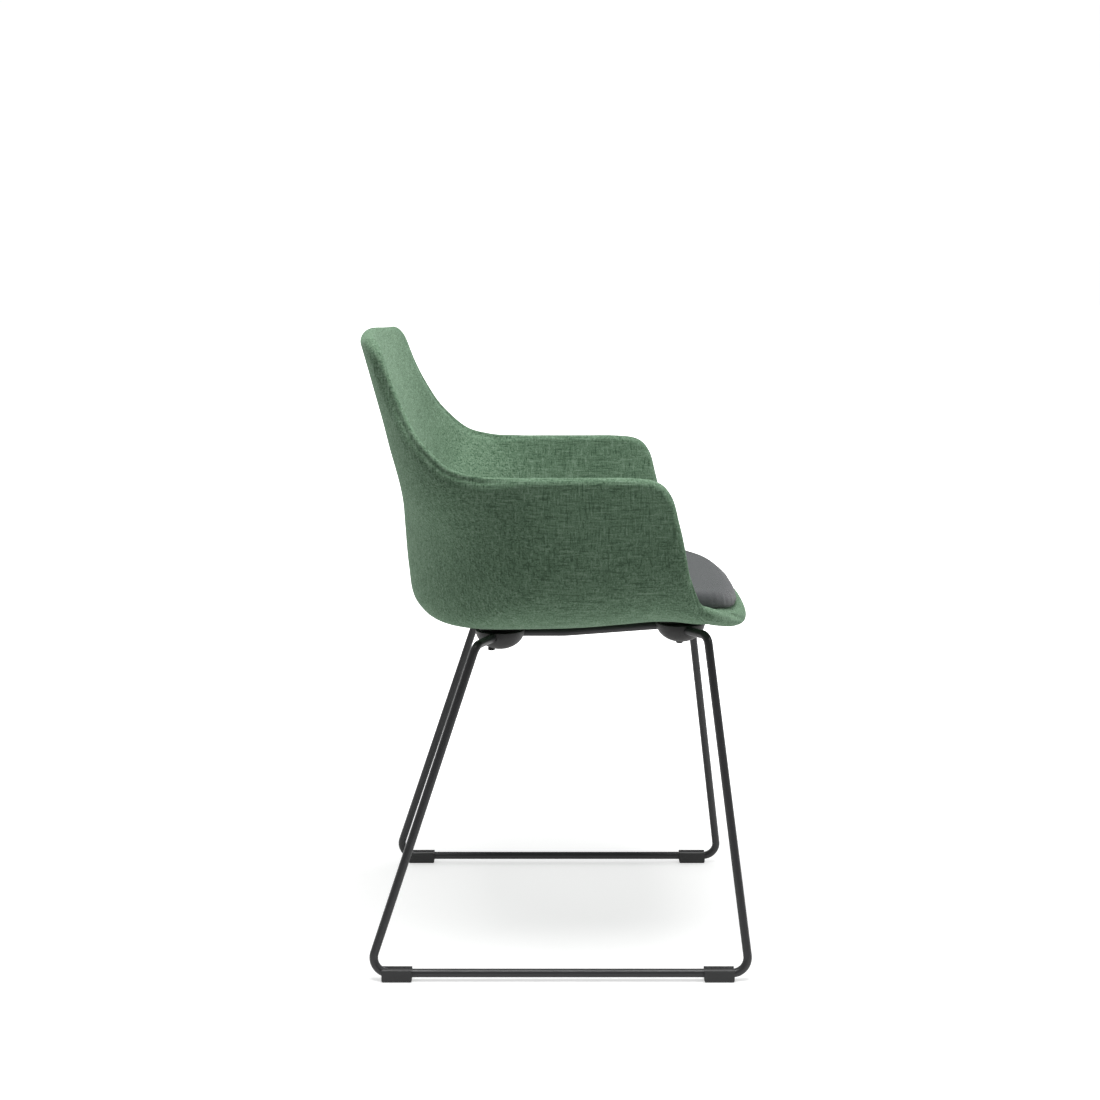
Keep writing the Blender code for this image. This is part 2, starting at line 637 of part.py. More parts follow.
def make_saddle(name, x, rod_height, buffer_x):
    """The moulded saddle that holds the rods up against the plate."""
    top = saddle_top(rod_height)
    dome_start = SADDLE_HALF_SPAN - SADDLE_DOME_LENGTH
    half = [(0.0, 1.0), (dome_start, 1.0)]
    for turn_share in (0.35, 0.60, 0.80, 0.95):
        turn = QUARTER * turn_share
        half.append((dome_start + SADDLE_DOME_LENGTH * math.sin(turn), math.cos(turn)**0.8))
    places = [(-y, scale) for y, scale in reversed(half[1:])] + half
    vertices = []
    for y, scale in places:
        vertices += saddle_section(x, y, top, scale)
    size = len(vertices) // len(places)
    saddle = add_object(name, vertices, join_rings(number_rings(len(places), size)), DARK_PLASTIC)
    for side_name, side in (("right", -1), ("left", 1)):
        groove = rod_along(name + "_groove_" + side_name, loop_path(side), ROD_RADIUS + GAP, BLACK_COAT)
        combine(saddle, groove, "DIFFERENCE")
    bottom = top - SADDLE_DEPTH
    hole = SCREW_RADIUS + HOLE_PLAY
    pocket = WASHER_RADIUS + HOLE_PLAY
    combine(saddle, posts(name + "_holes", screw_places(x), hole, bottom - OVERRUN, top + OVERRUN),
            "DIFFERENCE")
    combine(saddle, posts(name + "_pockets", screw_places(x), pocket, bottom - OVERRUN,
                          bottom + HEAD_POCKET_DEPTH), "DIFFERENCE")
    sockets = [(buffer_x, side * BUFFER_HALF_SPACING) for side in (-1, 1)]
    combine(saddle, posts(name + "_head_sockets", sockets, BUFFER_HEAD_RADIUS + GAP, bottom - OVERRUN,
                          buffer_seat(rod_height)), "DIFFERENCE")
    combine(saddle, posts(name + "_shank_sockets", sockets, BUFFER_SHANK_RADIUS + GAP, bottom - OVERRUN,
                          buffer_seat(rod_height) + BUFFER_SHANK_LENGTH + GAP), "DIFFERENCE")


def buffer_seat(rod_height):
    """The height of the face that a buffer's head is pushed up against."""
    return saddle_top(rod_height) - SADDLE_DEPTH - BUFFER_PROUD + BUFFER_HEAD_HEIGHT


def make_buffers(name, buffer_x, rod_height):
    """The soft studs that the next chair in a stack rests against."""
    head_top = buffer_seat(rod_height) - GAP
    head_bottom = head_top - BUFFER_HEAD_HEIGHT
    rounding_share = 0.8
    for side_name, side in (("right", -1), ("left", 1)):
        profile = (
            (BUFFER_HEAD_RADIUS * rounding_share, head_bottom),
            (BUFFER_HEAD_RADIUS, head_bottom + BUFFER_HEAD_RADIUS * (1 - rounding_share)),
            (BUFFER_HEAD_RADIUS, head_top),
            (BUFFER_SHANK_RADIUS, head_top),
            (BUFFER_SHANK_RADIUS, head_top + BUFFER_SHANK_LENGTH),
        )
        centre = (buffer_x, side * BUFFER_HALF_SPACING, 0.0)
        turned(name + "_" + side_name, centre, profile, BLACK_RUBBER, 12)


def insert_top(rod_height):
    return plate_top(rod_height) + GAP + INSERT_LENGTH


def boss_top(rod_height):
    return insert_top(rod_height) + GAP + BOSS_ROOF


def make_fixings(name, x, rod_height):
    """Two seat screws with their washers and threaded inserts."""
    pocket_roof = saddle_top(rod_height) - SADDLE_DEPTH + HEAD_POCKET_DEPTH
    washer_top = pocket_roof - GAP
    washer_bottom = washer_top - WASHER_THICKNESS
    head_top = washer_bottom - GAP
    head_bottom = head_top - SCREW_HEAD_HEIGHT
    insert_bottom = plate_top(rod_height) + GAP
    hole = SCREW_RADIUS + HOLE_PLAY
    for side_name, side in (("right", -1), ("left", 1)):
        centre = (x, side * SCREW_HALF_SPACING, 0.0)
        label = name + "_" + side_name
        crown_share = 0.7
        screw = (
            (SOCKET_RADIUS, head_bottom + SOCKET_DEPTH),
            (SOCKET_RADIUS, head_bottom),
            (SCREW_HEAD_RADIUS * crown_share, head_bottom),
            (SCREW_HEAD_RADIUS, head_top - SCREW_HEAD_HEIGHT * (1 - crown_share)),
            (SCREW_HEAD_RADIUS, head_top),
            (SCREW_RADIUS, head_top),
            (SCREW_RADIUS, insert_top(rod_height) - GAP),
        )
        turned("seat_screw_" + label, centre, screw, ZINC)
        turned_ring("washer_" + label, centre, WASHER_RADIUS, hole, washer_bottom, washer_top, ZINC)
        bore = SCREW_RADIUS + GAP
        turned_ring("threaded_insert_" + label, centre, bore + INSERT_WALL, bore,
                    insert_bottom, insert_top(rod_height), BRASS)


def fit_shell_to_plates(shell, padding, cover):
    """Bosses that reach down through the cover to the plates, and their pockets and bores."""
    for name, x, rod_height in (("front", FRONT_SADDLE_X, FRONT_ROD_HEIGHT),
                                ("rear", REAR_SADDLE_X, REAR_ROD_HEIGHT)):
        places = screw_places(x)
        low, high = plate_top(rod_height) + GAP, boss_top(rod_height)
        combine(shell, posts(name + "_bosses", places, BOSS_RADIUS, low, high), "UNION")
        bore = SCREW_RADIUS + GAP + INSERT_WALL + GAP
        combine(shell, posts(name + "_bores", places, bore, low - OVERRUN, insert_top(rod_height) + GAP),
                "DIFFERENCE")
        room = BOSS_RADIUS + GAP
        combine(padding, posts(name + "_pockets", places, room, low - OVERRUN, high + GAP), "DIFFERENCE")
        combine(cover, posts(name + "_openings", places, room, low - OVERRUN, high + GAP), "DIFFERENCE")


# Floor glides

def make_glide(name, x, side):
    """A clip that snaps up round the runner and stands on the floor."""
    groove = ROD_RADIUS + GAP
    half = groove + GLIDE_WALL
    slot = groove - GLIDE_LIP
    corner = GLIDE_CORNER_RADIUS
    outline = [(slot, RUNNER_HEIGHT), (slot, GLIDE_HEIGHT), (half, GLIDE_HEIGHT)]
    for k in range(4):
        angle = QUARTER * k / 3
        outline.append((half - corner * (1 - math.cos(angle)), corner * (1 - math.sin(angle))))
    section = outline + [(-y, z) for y, z in reversed(outline)]
    tip = []
    for k in range(4):
        angle = QUARTER * k / 3
        tip.append((GLIDE_LENGTH / 2 - corner * (1 - math.cos(angle)), corner * (1 - math.sin(angle))))
    stations = [(-along, lift) for along, lift in tip] + tip[::-1]
    vertices = []
    for along, lift in stations:
        vertices += [(x + along, side * RUNNER_HALF_SPACING + y, max(z, lift)) for y, z in section]
    rings = number_rings(len(stations), len(section))
    glide = add_object(name, vertices, join_rings(rings), GLIDE_PLASTIC)
    rod = rod_along(name + "_groove", loop_path(side), groove, BLACK_COAT)
    combine(glide, rod, "DIFFERENCE")


def make_glides():
    """Four glides, near the ends of the runners."""
    for side_name, side in (("right", -1), ("left", 1)):
        make_glide("glide_front_" + side_name, GLIDE_FRONT_X, side)
        make_glide("glide_rear_" + side_name, GLIDE_REAR_X, side)


def build_chair():
    """Every piece of the chair."""
    tub = outline_rays(TUB_OUTLINE)
    shell = make_seat_shell(tub)
    padding = make_inner_padding(tub)
    make_inner_cover(tub)
    cover = make_outer_cover(tub)
    fit_shell_to_plates(shell, padding, cover)
    pad = outline_rays(PAD_OUTLINE)
    make_pad_board(pad)
    make_pad_foam(pad)
    make_pad_cover(pad)
    make_loops()
    for name, x, rod_height, buffer_x in (
            ("front", FRONT_SADDLE_X, FRONT_ROD_HEIGHT, BUFFER_FRONT_X),
            ("rear", REAR_SADDLE_X, REAR_ROD_HEIGHT, BUFFER_REAR_X)):
        make_cross_plate(name + "_cross_plate", x, rod_height)
        make_saddle(name + "_saddle", x, rod_height, buffer_x)
        make_buffers(name + "_stack_buffer", buffer_x, rod_height)
        make_fixings(name, x, rod_height)
    make_glides()


def centre_over_origin():
    """Moves every piece forward or back, until the middle of the chair's depth is over the origin."""
    pieces = [item for item in bpy.data.objects if not item.hide_render]
    forward = [vertex.co.x for item in pieces for vertex in item.data.vertices]
    middle = (min(forward) + max(forward)) / 2
    for item in bpy.data.objects:
        for vertex in item.data.vertices:
            vertex.co.x -= middle


build_chair()
centre_over_origin()
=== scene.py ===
import math
from collections import namedtuple

import bmesh
import bpy
import numpy as np
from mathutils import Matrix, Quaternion, Vector
from mathutils.bvhtree import BVHTree


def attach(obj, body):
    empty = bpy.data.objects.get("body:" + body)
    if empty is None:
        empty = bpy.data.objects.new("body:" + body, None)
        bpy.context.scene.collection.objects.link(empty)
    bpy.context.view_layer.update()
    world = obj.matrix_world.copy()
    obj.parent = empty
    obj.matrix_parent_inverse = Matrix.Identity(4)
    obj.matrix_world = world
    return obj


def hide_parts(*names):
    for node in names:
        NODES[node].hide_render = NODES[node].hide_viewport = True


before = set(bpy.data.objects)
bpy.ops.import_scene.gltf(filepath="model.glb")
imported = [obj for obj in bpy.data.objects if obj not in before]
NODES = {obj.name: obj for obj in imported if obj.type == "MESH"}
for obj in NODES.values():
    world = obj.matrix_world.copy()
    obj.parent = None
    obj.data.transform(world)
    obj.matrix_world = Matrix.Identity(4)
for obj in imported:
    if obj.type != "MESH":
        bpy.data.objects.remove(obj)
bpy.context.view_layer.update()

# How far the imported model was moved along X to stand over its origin
SHIFT = 0.0029

# Tub, as in the CAD source but for the rows after 0.50, which shape its front corner. Columns: place
# along the tub; spine X, Z; edge X, Y, Z; reach of the seat's flat; direction of the wall; its pull
HALF_DEPTH = 0.2532
HALF_WIDTH = 0.288
SEAT_LEVEL = 0.4355
BACK_RISE = 0.372
WALL_HALF = 0.009
SECTIONS = np.array([
    (-1.00, -0.955, 1.000, -0.874, 0.735, 0.990, 0.36, 0.26, 0.96, 0.05, 0.28),
    (-0.77, -0.822, 0.699, -0.730, 0.850, 0.765, 0.31, 0.38, 0.86, 0.25, 0.30),
    (-0.64, -0.774, 0.558, -0.625, 0.955, 0.655, 0.31, 0.42, 0.75, 0.50, 0.32),
    (-0.54, -0.748, 0.415, -0.492, 1.004, 0.578, 0.37, 0.38, 0.55, 0.75, 0.34),
    (-0.45, -0.740, 0.315, -0.355, 1.010, 0.554, 0.46, 0.30, 0.38, 0.88, 0.36),
    (-0.33, -0.723, 0.165, -0.200, 1.003, 0.550, 0.55, 0.22, 0.22, 0.95, 0.42),
    (-0.17, -0.682, 0.046, -0.060, 1.000, 0.550, 0.68, 0.14, 0.10, 0.98, 0.48),
    (-0.02, -0.535, 0.010, 0.060, 1.000, 0.550, 0.82, 0.08, 0.06, 0.99, 0.54),
    (0.08, -0.260, 0.010, 0.200, 1.000, 0.550, 0.84, 0.03, 0.04, 1.00, 0.56),
    (0.17, 0.020, 0.018, 0.350, 1.000, 0.550, 0.84, 0.00, 0.03, 1.00, 0.58),
    (0.26, 0.250, 0.026, 0.480, 1.000, 0.541, 0.85, 0.00, 0.04, 1.00, 0.56),
    (0.38, 0.430, 0.032, 0.564, 0.999, 0.492, 0.84, 0.00, 0.05, 1.00, 0.50),
    (0.50, 0.580, 0.037, 0.606, 0.990, 0.395, 0.83, 0.00, 0.10, 1.00, 0.42),
    (0.67, 0.750, 0.041, 0.647, 0.944, 0.253, 0.838, -0.080, 0.309, 0.921, 0.329),
    (0.75, 0.818, 0.041, 0.675, 0.910, 0.180, 0.813, -0.137, 0.490, 0.793, 0.265),
    (0.83, 0.878, 0.040, 0.692, 0.871, 0.118, 0.764, -0.245, 0.730, 0.560, 0.222),
    (0.92, 0.927, 0.027, 0.754, 0.844, 0.088, 0.659, -0.274, 0.914, 0.359, 0.313),
    (1.00, 1.008, 0.010, 0.842, 0.798, 0.087, 0.722, -0.242, 0.936, 0.283, 0.638),
])


# Camera, as in the photograph

SENSOR_WIDTH = 36.0
LENS = 67.18
CAMERA_PLACE = (-0.0028, -2.732, 0.911)
CAMERA_DIP = 8.33


def make_camera():
    camera = bpy.data.cameras.new("camera")
    camera.sensor_width = SENSOR_WIDTH
    camera.lens = LENS
    holder = bpy.data.objects.new("camera", camera)
    holder.location = (CAMERA_PLACE[0] - SHIFT, *CAMERA_PLACE[1:])
    holder.rotation_euler = (math.radians(90 - CAMERA_DIP), 0, 0)
    bpy.context.scene.collection.objects.link(holder)
    bpy.context.scene.camera = holder


make_camera()


# Materials

RANGE_ENDS = ("From Min", "From Max", "To Min", "To Max")


class Nodes:
    """Short ways to wire a material's nodes."""

    def __init__(self, name, colour, roughness, metallic=0.0):
        self.material = bpy.data.materials.new(name)
        self.material.use_nodes = True
        self.tree = self.material.node_tree
        self.shader = self.tree.nodes["Principled BSDF"]
        self.give(Base_Color=(*colour, 1), Roughness=roughness, Metallic=metallic)

    def give(self, **values):
        """Sets inputs of the shader, whose names have spaces for the underscores."""
        for key, value in values.items():
            self.shader.inputs[key.replace("_", " ")].default_value = value

    def new(self, kind, **settings):
        node = self.tree.nodes.new(kind)
        for key, value in settings.items():
            setattr(node, key, value)
        return node

    def join(self, source, target):
        self.tree.links.new(source, target)

    def place(self, scale=(1, 1, 1)):
        """Object coordinates in metres, stretched."""
        where = self.new("ShaderNodeTexCoord")
        mapping = self.new("ShaderNodeMapping")
        mapping.inputs["Scale"].default_value = scale
        self.join(where.outputs["Object"], mapping.inputs["Vector"])
        return mapping.outputs["Vector"]

    def noise(self, vector, scale, detail=2.0):
        node = self.new("ShaderNodeTexNoise")
        node.inputs["Scale"].default_value = scale
        node.inputs["Detail"].default_value = detail
        self.join(vector, node.inputs["Vector"])
        return node.outputs["Fac"]

    def maths(self, kind, first, second=None, third=None):
        node = self.new("ShaderNodeMath", operation=kind)
        for socket, value in zip(node.inputs, (first, second, third)):
            if value is None:
                continue
            if isinstance(value, (int, float)):
                socket.default_value = value
            else:
                self.join(value, socket)
        return node.outputs[0]

    def spread(self, value, low, high, to_low=0.0, to_high=1.0):
        node = self.new("ShaderNodeMapRange")
        self.join(value, node.inputs["Value"])
        for key, number in zip(RANGE_ENDS, (low, high, to_low, to_high)):
            node.inputs[key].default_value = number
        return node.outputs["Result"]

    def ramp(self, value, stops):
        node = self.new("ShaderNodeValToRGB")
        ramp = node.color_ramp
        while len(ramp.elements) < len(stops):
            ramp.elements.new(0.5)
        for element, (position, colour) in zip(ramp.elements, stops):
            element.position = position
            element.color = (*colour, 1)
        self.join(value, node.inputs["Fac"])
        return node.outputs["Color"]

    def bump(self, height, distance, strength):
        node = self.new("ShaderNodeBump")
        node.inputs["Distance"].default_value = distance
        node.inputs["Strength"].default_value = strength
        self.join(height, node.inputs["Height"])
        self.join(node.outputs["Normal"], self.shader.inputs["Normal"])

    def roughen(self, noise, low, high):
        """Roughness that wanders between two values."""
        self.join(self.spread(noise, 0.3, 0.7, low, high), self.shader.inputs["Roughness"])

    def weave(self, pitch):
        """Thread heights: rounded ribs along all three directions."""
        ribs = None
        for axis in range(3):
            scale = [0.0, 0.0, 0.0]
            scale[axis] = 2 * math.pi / pitch
            separate = self.new("ShaderNodeSeparateXYZ")
            self.join(self.place(tuple(scale)), separate.inputs[0])
            wave = self.maths("SINE", separate.outputs[axis])
            ribs = wave if ribs is None else self.maths("ADD", ribs, wave)
        return ribs

    def pick(self, kind, threads):
        """The highest or the lowest of three noises."""
        return self.maths(kind, self.maths(kind, threads[0], threads[2]), threads[1])

    def slubs(self, thick, long, detail=1.0):
        """Noise drawn out along X, Y and Z in turn: threads that show on any face."""
        found = []
        for axis in range(3):
            scale = [1.0 / thick] * 3
            scale[axis] = 1.0 / long
            found.append(self.noise(self.place(tuple(scale)), 1.0, detail))
        return found


# A slub or fleck is given as its thickness and length, and lengths are in metres
GREEN_SLUB = (0.0020, 0.021)
GREEN_FLECK = (0.0013, 0.0050)
GREEN_PITCH = 0.0017
GREEN_RELIEF = 0.0005
GREEN_STOPS = (
    (0.10, (0.070, 0.126, 0.075)),
    (0.42, (0.135, 0.226, 0.144)),
    (0.60, (0.172, 0.276, 0.181)),
    (0.92, (0.270, 0.390, 0.280)),
)
CHARCOAL_SLUB = (0.0007, 0.0028)
CHARCOAL_PITCH = 0.0011
CHARCOAL_RELIEF = 0.0004
CHARCOAL_STOPS = (
    (0.0, (0.070, 0.073, 0.077)),
    (0.6, (0.101, 0.107, 0.110)),
    (1.0, (0.138, 0.146, 0.150)),
)
FABRIC_SHEEN = 0.30
FABRIC_SHINE = 0.15
FABRIC_BUMP = 0.45


def green_fabric():
    made = Nodes("green_melange", (0.2, 0.33, 0.22), 0.95)
    long = made.slubs(*GREEN_SLUB)
    short = made.slubs(*GREEN_FLECK)
    light = made.spread(made.pick("MAXIMUM", long), 0.56, 0.72, 0.0, 0.34)
    dark = made.spread(made.pick("MINIMUM", long), 0.28, 0.42, 0.0, 0.40)
    fleck = made.spread(made.pick("MAXIMUM", short), 0.48, 0.80, 0.0, 0.24)
    streak = made.maths("ADD", made.maths("ADD", light, dark), fleck)
    patch = made.spread(made.noise(made.place(), 14.0, 3.0), 0.3, 0.7, -0.05, 0.05)
    colour = made.ramp(made.maths("ADD", streak, patch), GREEN_STOPS)
    made.join(colour, made.shader.inputs["Base Color"])
    made.give(Sheen_Weight=FABRIC_SHEEN, Sheen_Roughness=0.45, Sheen_Tint=(0.55, 0.80, 0.58, 1),
              Specular_IOR_Level=FABRIC_SHINE)
    height = made.maths("ADD", made.maths("MULTIPLY", made.weave(GREEN_PITCH), 0.22), streak)
    made.bump(height, GREEN_RELIEF, FABRIC_BUMP)
    return made.material


def charcoal_fabric():
    made = Nodes("charcoal_weave", (0.16, 0.17, 0.18), 0.92)
    streak = made.pick("MAXIMUM", made.slubs(*CHARCOAL_SLUB))
    colour = made.ramp(made.spread(streak, 0.40, 0.80), CHARCOAL_STOPS)
    made.join(colour, made.shader.inputs["Base Color"])
    made.give(Sheen_Weight=FABRIC_SHEEN, Sheen_Roughness=0.4, Specular_IOR_Level=FABRIC_SHINE)
    height = made.maths("ADD", made.maths("MULTIPLY", made.weave(CHARCOAL_PITCH), 0.25), streak)
    made.bump(height, CHARCOAL_RELIEF, FABRIC_BUMP)
    return made.material


def black_coat():
    made = Nodes("satin_black_coat", (0.030, 0.030, 0.032), 0.36)
    grain = made.noise(made.place(), 900.0, 3.0)
    cloud = made.noise(made.place(), 18.0, 2.0)
    made.roughen(cloud, 0.31, 0.42)
    made.bump(grain, 0.0002, 0.25)
    return made.material


def grained(name, colour, roughness, grain_scale):
    made = Nodes(name, colour, roughness)
    grain = made.noise(made.place(), grain_scale, 2.0)
    cloud = made.noise(made.place(), 22.0, 2.0)
    made.roughen(cloud, roughness - 0.05, roughness + 0.06)
    low, high = tuple(0.9 * c for c in colour), tuple(1.12 * c for c in colour)
    shade = made.ramp(cloud, ((0.3, low), (0.7, high)))
    made.join(shade, made.shader.inputs["Base Color"])
    made.bump(grain, 0.00025, 0.35)
    return made.material


def plated(name, colour, roughness):
    made = Nodes(name, colour, roughness, 1.0)
    marks = made.noise(made.place((1, 1, 6)), 260.0, 3.0)
    made.roughen(marks, roughness - 0.08, roughness + 0.12)
    made.bump(marks, 0.0001, 0.2)
    return made.material


GREEN = green_fabric()
CHARCOAL = charcoal_fabric()
COAT = black_coat()
SADDLE_PLASTIC = grained("saddle_plastic", (0.024, 0.023, 0.023), 0.52, 700.0)
SHELL_PLASTIC = grained("shell_plastic", (0.045, 0.046, 0.048), 0.55, 500.0)
GLIDE_PLASTIC = grained("glide_plastic", (0.022, 0.022, 0.023), 0.42, 600.0)
RUBBER = grained("black_rubber", (0.010, 0.010, 0.010), 0.80, 900.0)
ZINC = plated("zinc_plate", (0.45, 0.45, 0.46), 0.36)
BRASS = plated("turned_brass", (0.62, 0.46, 0.20), 0.34)
FOAM = grained("foam", (0.62, 0.58, 0.44), 0.95, 400.0)

# The CAD's own pieces wear these, by words in their names
SLOT_MATERIALS = {"shell": SADDLE_PLASTIC, "padding": FOAM, "foam": FOAM, "board": SADDLE_PLASTIC,
                  "loop": COAT, "plate": COAT, "saddle": SADDLE_PLASTIC, "buffer": RUBBER,
                  "screw": ZINC, "washer": ZINC, "insert": BRASS, "glide": GLIDE_PLASTIC,
                  "inner_cover": GREEN, "outer_cover": GREEN, "pad_cover": CHARCOAL}
for name, node in NODES.items():
    for word, material in SLOT_MATERIALS.items():
        if word in name:
            for slot in node.material_slots:
                slot.material = material


# Tub surface

NUDGE = 0.001


def follow_sections(place):
    """The sections' values anywhere along the tub, by a smooth cubic through the table."""
    along, rows = SECTIONS[:, 0], SECTIONS[:, 1:]
    steps = np.diff(along)
    rises = np.diff(rows, axis=0) / steps[:, None]
    slopes = np.empty_like(rows)
    slopes[0], slopes[-1] = rises[0], rises[-1]
    before, after = steps[:-1, None], steps[1:, None]
    slopes[1:-1] = (rises[:-1] * after + rises[1:] * before) / (before + after)
    k = np.clip(np.searchsorted(along, place) - 1, 0, len(steps) - 1)
    step = steps[k][:, None]
    t = ((place - along[k]) / steps[k])[:, None]
    start = (2 * t**3 - 3 * t**2 + 1) * rows[k] + (t**3 - 2 * t**2 + t) * step * slopes[k]
    finish = (3 * t**2 - 2 * t**3) * rows[k + 1] + (t**3 - t**2) * step * slopes[k + 1]
    return start + finish


def tub_points(place, across):
    """Points on the tub's middle surface; across runs from -1 on the right edge to 1 on the left."""
    row = follow_sections(place)
    zero = np.zeros(len(row))
    spine = np.stack((row[:, 0] * HALF_DEPTH, zero, SEAT_LEVEL + row[:, 1] * BACK_RISE), 1)
    edge = np.stack((row[:, 2] * HALF_DEPTH, row[:, 3] * HALF_WIDTH,
                     SEAT_LEVEL + row[:, 4] * BACK_RISE), 1)
    lean = row[:, 6:9] / np.linalg.norm(row[:, 6:9], axis=1)[:, None]
    leave = spine + np.stack((zero, row[:, 5] * edge[:, 1], zero), 1)
    arrive = edge - lean * (row[:, 9] * np.linalg.norm(edge - spine, axis=1))[:, None]
    t = np.abs(across)[:, None]
    point = (1 - t)**3 * spine + 3 * (1 - t)**2 * t * leave + 3 * (1 - t) * t**2 * arrive + t**3 * edge
    point[:, 1] *= np.where(across < 0, -1, 1)
    point[:, 0] -= SHIFT
    return point


def tub_normals(place, across):
    ahead = tub_points(np.minimum(place + NUDGE, 1), across)
    behind = tub_points(np.maximum(place - NUDGE, -1), across)
    side = tub_points(place, across + NUDGE) - tub_points(place, across - NUDGE)
    normal = np.cross(ahead - behind, side)
    return normal / np.linalg.norm(normal, axis=1)[:, None]


Rays = namedtuple("Rays", "place across hub reach")


def outline_rays(start, end, half, rear_corner, front_corner, hubs, counts):
    """Lines from an outline's edge to the spine, all round, with the edge's real distance to it."""
    top, corner, side, front_corner_count, front = counts
    rear_along, rear_across = rear_corner
    fore_along, fore_across = front_corner
    spots = [(start, (half - rear_across) * k / top) for k in range(top)]
    for k in range(corner):
        turn = math.pi / 2 * k / corner
        spots.append((start + rear_along * (1 - math.cos(turn)),
                      half - rear_across * (1 - math.sin(turn))))
    straight = end - fore_along - start - rear_along
    spots += [(start + rear_along + straight * k / side, half) for k in range(side)]
    for k in range(front_corner_count):
        turn = math.pi / 2 * k / front_corner_count
        spots.append((end - fore_along * (1 - math.sin(turn)),
                      half - fore_across * (1 - math.cos(turn))))
    spots += [(end, (half - fore_across) * (1 - k / front)) for k in range(front + 1)]
    spots += [(place, -across) for place, across in reversed(spots[1:-1])]
    place, across = np.array(spots).T
    hub = np.clip(place, *hubs)
    edge = tub_points(place, across)
    inward = (tub_points(hub + (place - hub) * (1 - NUDGE), across * (1 - NUDGE)) - edge) / NUDGE
    along = np.roll(edge, -1, 0) - np.roll(edge, 1, 0)
    along /= np.linalg.norm(along, axis=1)[:, None]
    reach = np.linalg.norm(np.cross(inward, along), axis=1)
    for _ in range(2):
        reach = (np.roll(reach, 1) + reach + np.roll(reach, -1)) / 3
    return Rays(place, across, hub, reach)


def ray_points(rays, distance, share, offset):
    """A ring at a distance from the edge, moved a share of the way to the spine, off the surface."""
    inward = distance / rays.reach * (1 - share) + share
    place = rays.hub + (rays.place - rays.hub) * (1 - inward)
    across = rays.across * (1 - inward)
    return tub_points(place, across) + tub_normals(place, across) * np.reshape(offset, (-1, 1))


WELD = 0.00002
CREASE = math.radians(38)


def band(rings):
    """Faces between neighbouring rings, closed all round."""
    size = len(rings[0])
    faces = []
    for k in range(len(rings) - 1):
        for i in range(size):
            j = (i + 1) % size
            faces.append((k * size + i, k * size + j, (k + 1) * size + j, (k + 1) * size + i))
    return faces


def add_piece(name, vertices, faces, material, weld=0.0, crease=0.0):
    """A smooth object from points and faces, with its faces turned outward."""
    mesh = bpy.data.meshes.new(name)
    mesh.from_pydata(vertices, [], faces)
    shaped = bmesh.new()
    shaped.from_mesh(mesh)
    if weld:
        bmesh.ops.remove_doubles(shaped, verts=shaped.verts, dist=weld)
    bmesh.ops.recalc_face_normals(shaped, faces=shaped.faces)
    shaped.to_mesh(mesh)
    shaped.free()
    mesh.shade_smooth()
    if crease:
        mesh.set_sharp_from_angle(angle=crease)
    mesh.materials.append(material)
    piece = bpy.data.objects.new(name, mesh)
    bpy.context.scene.collection.objects.link(piece)
    return piece


def skin(name, rings, material):
    """A closed mesh through rings of points, welded where they meet."""
    return add_piece(name, np.concatenate(rings).tolist(), band(rings), material, weld=WELD)


# Upholstered tub

# Roundings of the outline's corners, as shares along and across the tub, and the ends of the spine
# that its lines run to
REAR_CORNER = (0.066, 0.14)
FRONT_CORNER = (0.06, 0.36)
HUBS = (-0.73, 0.78)
LIP_RADIUS = 0.0037
LIP_LEVEL = 0.0016
LIP_TURNS = (75, -64)
LIP_SLOPE = 0.016
LIP_DIP = 0.0012
LIP_GROOVE = 0.0008
GROOVE_SHARE = 0.40
SHOULDER = 0.0150
PUCKER = 0.00020
PUCKER_WIDTH = 0.004
# Where along the tub the thin lip and the smoothed front corner fade in and out
WING_PLACES, WING_SHARES = (-0.97, -0.88, -0.44, -0.28), (0, 1, 1, 0)
FOOT_PLACES, FOOT_SHARES = (0.56, 0.70, 0.92, 1.0), (0, 1, 1, 0.3)
FOOT_PASSES = 26


def even_out(values, times):
    """Smooths values along a closed ring."""
    for _ in range(times):
        values = 0.25 * np.roll(values, 1, 0) + 0.5 * values + 0.25 * np.roll(values, -1, 0)
    return values


def thin_rim():
    """The wings' edge as (distance, offset) pairs: a slope inside, a thin lip, then a slanting side."""
    turns = np.radians(np.linspace(*LIP_TURNS, 26))
    reach = LIP_RADIUS * (1 - math.cos(turns[0]))
    drop = WALL_HALF - LIP_LEVEL - LIP_RADIUS * math.sin(turns[0])
    found = []
    for part in np.linspace(0, 1, 14)[:-1]:
        dip = LIP_DIP * math.sin(math.pi * part**2)**2
        found.append((reach + LIP_SLOPE * (1 - part), WALL_HALF - drop * part**1.4 - dip))
    for turn in turns:
        found.append((LIP_RADIUS * (1 - math.cos(turn)), LIP_LEVEL + LIP_RADIUS * math.sin(turn)))
    start, level = found[-1]
    for part in np.linspace(0, 1, 26)[1:]:
        fall = 1.5 * part - 0.5 * part**3
        groove = LIP_GROOVE * math.sin(math.pi * min(part / GROOVE_SHARE, 1))**2
        found.append((start + SHOULDER * part, level - (WALL_HALF + level) * fall + groove))
    return np.array(found)


def round_rim(count):
    """The edge elsewhere: half a circle, as (distance, offset) pairs."""
    turn = np.radians(np.linspace(90, -90, count))
    return np.column_stack((WALL_HALF * (1 - np.cos(turn)), WALL_HALF * np.sin(turn)))


